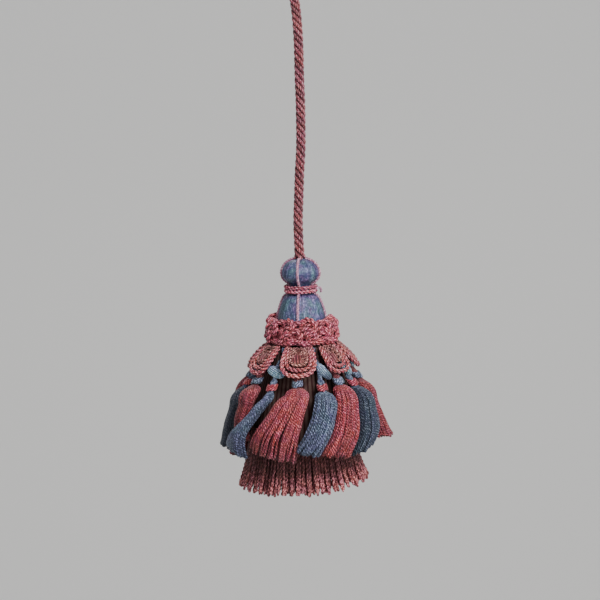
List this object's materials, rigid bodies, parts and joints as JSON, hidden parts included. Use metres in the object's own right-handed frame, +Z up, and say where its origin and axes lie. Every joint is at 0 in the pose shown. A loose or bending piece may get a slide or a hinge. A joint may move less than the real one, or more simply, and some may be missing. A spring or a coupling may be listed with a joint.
{
  "type": "key tassel",
  "caption": "Passementerie tassel on a twisted cord with an eye loop: thread-covered ball and bell head, looped rope ruff, rope swags, small two-colour tassels and a bullion fringe.",
  "frame": {"origin": "top of the eye loop's inside, where it bears on its hook", "axes": "+Z up along the hanging cord, -Y the front, +X to the right as seen from the front"},
  "size_m": [0.0856, 0.0857, 0.3183],
  "materials": {
    "hanging_cord": "rose and dark rose viscose yarns laid in four strands, soft sheen",
    "rose_rope": "twisted rose viscose rope, soft sheen",
    "rose_thread": "wound rose viscose thread, satin sheen",
    "blue_thread": "laid blue viscose thread, satin sheen",
    "pale_line": "pale rose twisted cord, soft sheen",
    "rose_skirt": "rose viscose cut skirt of fine twisted threads",
    "blue_skirt": "blue viscose cut skirt of fine twisted threads",
    "rose_bullion": "dark rose bullion fringe of twisted strands"
  },
  "bodies": {
    "root": {"hanging_cord": "hanging_cord", "loop_binding": "rose_thread", "head_ball": "blue_thread", "head_bell": "blue_thread", "head_line_1": "pale_line", "head_line_2": "pale_line", "head_line_3": "pale_line", "head_line_4": "pale_line", "waist_cord": "rose_rope", "ruff_loops": "rose_rope", "ruff_foot": "rose_rope", "under_skirt": "rose_bullion", "swag_1": "rose_rope", "swag_2": "rose_rope", "swag_3": "rose_rope", "swag_4": "rose_rope", "swag_5": "rose_rope", "swag_6": "rose_rope", "swag_7": "rose_rope", "swag_8": "rose_rope", "tassel_rose_1": "rose_skirt", "tassel_rose_2": "rose_skirt", "tassel_rose_3": "rose_skirt", "tassel_rose_4": "rose_skirt", "tassel_rose_5": "rose_skirt", "tassel_rose_6": "rose_skirt", "tassel_rose_7": "rose_skirt", "tassel_rose_8": "rose_skirt", "tassel_blue_1": "blue_skirt", "tassel_blue_2": "blue_skirt", "tassel_blue_3": "blue_skirt", "tassel_blue_4": "blue_skirt", "tassel_blue_5": "blue_skirt", "tassel_blue_6": "blue_skirt", "tassel_blue_7": "blue_skirt", "tassel_blue_8": "blue_skirt", "binding_rose_1": "blue_thread", "binding_rose_2": "blue_thread", "binding_rose_3": "blue_thread", "binding_rose_4": "blue_thread", "binding_rose_5": "blue_thread", "binding_rose_6": "blue_thread", "binding_rose_7": "blue_thread", "binding_rose_8": "blue_thread", "binding_blue_1": "rose_thread", "binding_blue_2": "rose_thread", "binding_blue_3": "rose_thread", "binding_blue_4": "rose_thread", "binding_blue_5": "rose_thread", "binding_blue_6": "rose_thread", "binding_blue_7": "rose_thread", "binding_blue_8": "rose_thread"}
  },
  "joints": []
}
